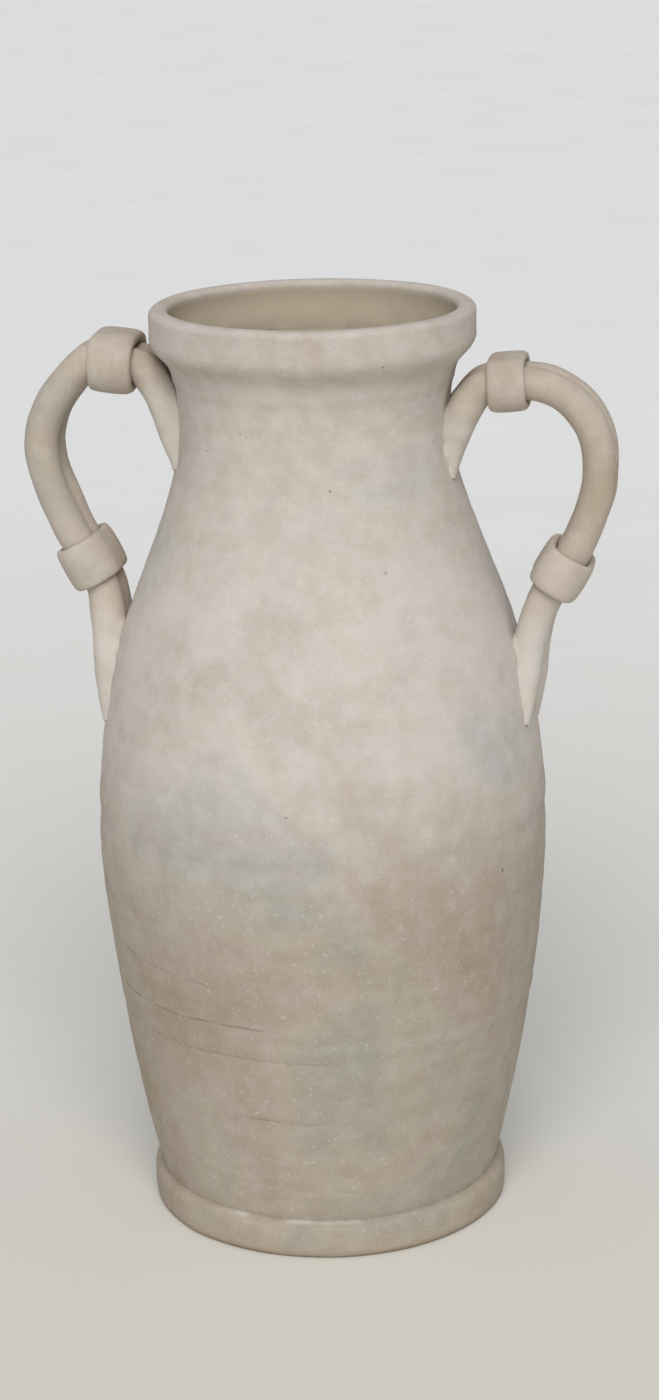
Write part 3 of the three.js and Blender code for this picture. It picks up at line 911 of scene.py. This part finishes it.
def slip_color(n, p, warm):
    """Clouds and washes of slip, with a painted highlight on the shoulder and painted shade lower down,
    grainy, and tinted warm.
    """
    color = wash(n, p, n.ramp(p["clouds"], CLOUDS), WASHES)
    # Painted highlight: the shoulder, which faces up into the light, is made paler in patches.
    shoulder_highlight = n.chain(
        "MULTIPLY", n.range(p["height"], *HIGHLIGHT_GROWS), n.range(p["height"], *HIGHLIGHT_FADES)
    )
    patchy = n.range(p["drifts"], *HIGHLIGHT_PATCHES)
    color = n.mix(n.chain("MULTIPLY", shoulder_highlight, patchy, HIGHLIGHT_COVER), color, SHOULDER_PAINTED_HIGHLIGHT)
    # Painted shade: the lower body is darkened towards the bottom, where it faces down away from the
    # light.
    color = n.mix(n.range(p["height"], *LOWER_SHADE_GROWS), color, LOWER_PAINTED_SHADE, "MULTIPLY")
    color = wash(n, p, color, GRAINS)
    if warm:
        tint = (*(1 - loss * warm for loss in WARM_LOSS), 1)
        color = n.mix(1.0, color, tint, "MULTIPLY")
    return color


def pit_holes(n, p):
    """A few cells of a coarse and of a fine pattern hold one small hole each."""
    holes = []
    for scale, size, chance, strength in PITS:
        cells = n.add("ShaderNodeTexVoronoi", {"Vector": p["where"], "Scale": scale, "Randomness": 1.0})
        hole = n.range(cells.outputs["Distance"], size, size * PIT_CORE)
        draw = n.add("ShaderNodeSeparateColor", {0: cells.outputs["Color"]}).outputs[0]
        chosen = n.range(draw, chance, chance + PICK_SOFTNESS)
        holes.append(n.chain("MULTIPLY", hole, chosen, strength))
    return n.chain("MAXIMUM", *holes)


def cut_grooves(n, p, color, relief):
    """Incised lines, wobbly and broken, that fade out at both ends and towards the sides, with painted
    shade laid in them.
    """
    wobble = n.pattern(p["where"], *GROOVE_WAVES)
    broken = n.range(n.pattern(p["where"], *GROOVE_BREAKS), *GROOVE_GAPS)
    front = n.range(p["y"], *GROOVE_FRONT)
    for z, lean, from_x, to_x, deep in GROOVES:
        line = n.chain("ADD", p["height"], n.chain("MULTIPLY", wobble, GROOVE_WOBBLE))
        line = n.chain("ADD", line, n.chain("MULTIPLY", p["x"], lean))
        off = n.chain("ABSOLUTE", n.chain("SUBTRACT", line, z + GROOVE_WOBBLE / 2), 0.0)
        cut = n.chain(
            "MULTIPLY",
            n.range(off, GROOVE_HALF_WIDTH, GROOVE_FLAT),
            n.range(p["x"], from_x - GROOVE_FADE, from_x + GROOVE_FULL),
            n.range(p["x"], to_x + GROOVE_FULL, to_x - GROOVE_FADE),
            front,
            broken,
            deep,
        )
        # Painted shade: each incised line is darkened as if shade fell in its cut.
        color = n.mix(cut, color, GROOVE_PAINTED_SHADE)
        relief = n.chain("SUBTRACT", relief, n.chain("MULTIPLY", cut, GROOVE_RELIEF))
    return color, relief


def bare_inside(n, p, color):
    """Buff clay below the lip, with the slip worn through to it."""
    return n.mix(n.range(p["height"], *INSIDE_BARES), color, INSIDE_TAN)


def foot_wear(n, p, color):
    """White slip caught along the front of the crease, and an arris rubbed bare by the table."""
    smear = n.range(p["height"], *SMEAR_RISES)
    patches = n.range(n.pattern(p["where"], *SMEARS), *SMEAR_PATCHES)
    front = n.range(p["y"], *SMEAR_FRONT)
    color = n.mix(n.chain("MULTIPLY", smear, patches, front), color, WHITE_SLIP)
    rubbed = n.range(p["height"], *ARRIS_RUBS)
    patchy = n.range(p["mottle"], *ARRIS_PATCHES)
    return n.mix(n.chain("MULTIPLY", rubbed, patchy, ARRIS_COVER), color, FOOT_WORN)


def white_tails(n, p, color):
    """Thick white slip that was brushed over the tapered ends of the coils."""
    white = n.add("ShaderNodeAttribute", attribute_name="slip_white").outputs["Fac"]
    patchy = n.range(p["drifts"], *TAIL_PATCHES)
    return n.mix(n.chain("MULTIPLY", n.range(white, *TAIL_WHITENS), patchy), color, WHITE_SLIP)


def clay(name, warm=0.0, grooves=False, inside=False, foot=False, tails=False):
    """Matt slip over buff clay: soft clouds of tan, pink, cream and grey, fine grain and pits."""
    n = Nodes(name)
    p = patterns(n)
    pits = pit_holes(n, p)
    # Painted shade: the pits are darkened as if shade fell in them, besides being sunk by the relief.
    color = n.mix(pits, slip_color(n, p, warm), PIT_PAINTED_SHADE)
    lifts = [n.chain("MULTIPLY", p[pattern], lift) for pattern, lift in RELIEF]
    relief = n.chain("ADD", *lifts, n.chain("MULTIPLY", pits, -1.0))
    if grooves:
        color, relief = cut_grooves(n, p, color, relief)
    if inside:
        color = bare_inside(n, p, color)
    if foot:
        color = foot_wear(n, p, color)
    if tails:
        color = white_tails(n, p, color)
    bump = n.add(
        "ShaderNodeBump", {"Height": relief, "Strength": RELIEF_STRENGTH, "Distance": RELIEF_HEIGHT}
    )
    rough = n.range(p["mottle"], *ROUGHNESS)
    shader = n.add(
        "ShaderNodeBsdfPrincipled",
        {"Base Color": color, "Roughness": rough, "Normal": bump.outputs[0], "Specular IOR Level": GLOSS},
    )
    n.add("ShaderNodeOutputMaterial", {"Surface": shader.outputs[0]})
    return n.material


# The ground and the light.

GROUND_HALF_SIZE = 30
GROUND_NEAR = shade(227, 225, 217)
GROUND_FAR = shade(247, 247, 247)
GROUND_MOTTLE = shade(226, 221, 208)
GROUND_FADE = (-0.6, 2.4)
GROUND_PATTERN = ((1, 1, 1), (0, 0, 0), 5, 4, 0.6, 0)
GROUND_PATCHES = (0.35, 0.65, 0, 0.12)
GROUND_ROUGHNESS = 0.9
LAMP_STRENGTH = 2.0
LAMP_SOFTNESS = 38
LAMP_TILT = 49
LAMP_TURN = 7
LAMP_COLOR = (1.0, 0.985, 0.965)
SKY_COLOR = (0.93, 0.96, 1.0, 1)
SKY_STRENGTH = 0.40


def add_ground():
    """A wide pale floor, which fills the picture behind the vase too."""
    bm = bmesh.new()
    bmesh.ops.create_grid(bm, x_segments=1, y_segments=1, size=GROUND_HALF_SIZE)
    mesh = bpy.data.meshes.new("floor")
    bm.to_mesh(mesh)
    bm.free()
    floor = bpy.data.objects.new("floor", mesh)
    bpy.context.scene.collection.objects.link(floor)
    n = Nodes("pale_floor")
    where = n.add("ShaderNodeTexCoord").outputs["Object"]
    deep = n.add("ShaderNodeSeparateXYZ", {0: where}).outputs[1]
    color = n.mix(n.range(deep, *GROUND_FADE), GROUND_NEAR, GROUND_FAR)
    patches = n.range(n.pattern(where, *GROUND_PATTERN), *GROUND_PATCHES)
    color = n.mix(patches, color, GROUND_MOTTLE)
    shader = n.add("ShaderNodeBsdfPrincipled", {"Base Color": color, "Roughness": GROUND_ROUGHNESS})
    n.add("ShaderNodeOutputMaterial", {"Surface": shader.outputs[0]})
    mesh.materials.append(n.material)


def add_light():
    """One large soft lamp from the front and above, and a pale even surround."""
    sun = bpy.data.lights.new("soft_lamp", "SUN")
    sun.energy = LAMP_STRENGTH
    sun.angle = math.radians(LAMP_SOFTNESS)
    sun.color = LAMP_COLOR
    lamp = bpy.data.objects.new("soft_lamp", sun)
    lamp.rotation_euler = (math.radians(LAMP_TILT), 0, math.radians(LAMP_TURN))
    bpy.context.scene.collection.objects.link(lamp)

    world = bpy.data.worlds.new("soft_surround")
    bpy.context.scene.world = world
    world.use_nodes = True
    background = world.node_tree.nodes["Background"]
    background.inputs["Color"].default_value = SKY_COLOR
    background.inputs["Strength"].default_value = SKY_STRENGTH
    bpy.context.scene.view_settings.view_transform = "Standard"


def make_vessel():
    """The four turned pieces, each with the node that it replaces and its material slot."""
    body_clay = clay("body_slip", grooves=True)
    neck_clay = clay("neck_slip")
    inside_clay = clay("inside_clay", inside=True)
    foot_clay = clay("foot_slip", warm=0.12, foot=True)
    return [
        (line_inside(lower_body(body_clay), inside_clay), "lower_body", "body_clay"),
        (line_inside(upper_body(neck_clay), inside_clay), "upper_body", "body_clay"),
        (foot_ring(foot_clay), "foot_ring", "foot_clay"),
        (line_inside(rim_collar(neck_clay), inside_clay), "rim_collar", "collar_clay"),
    ]


def make_handles():
    """Both coils and both bands of each handle, with the nodes that they replace and the slots."""
    coil_clay = clay("coil_slip", warm=0.30, tails=True)
    band_clay = clay("band_slip", warm=0.25)
    made = []
    for handle in (RIGHT_HANDLE, LEFT_HANDLE):
        side = handle["side"]
        front = -handle["out"]
        made += [
            (coil(handle, "front", front, coil_clay), f"{side}_front_coil", "coil_clay"),
            (coil(handle, "back", -front, coil_clay), f"{side}_back_coil", "coil_clay"),
            (band(handle, "upper", upper_middle(handle), band_clay), f"{side}_upper_band", "band_clay"),
            (band(handle, "lower", lower_middle(handle), band_clay), f"{side}_lower_band", "band_clay"),
        ]
    return made


add_camera()
add_ground()
add_light()
for piece, node, slot in make_vessel() + make_handles():
    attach(piece, "root")
    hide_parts(node)
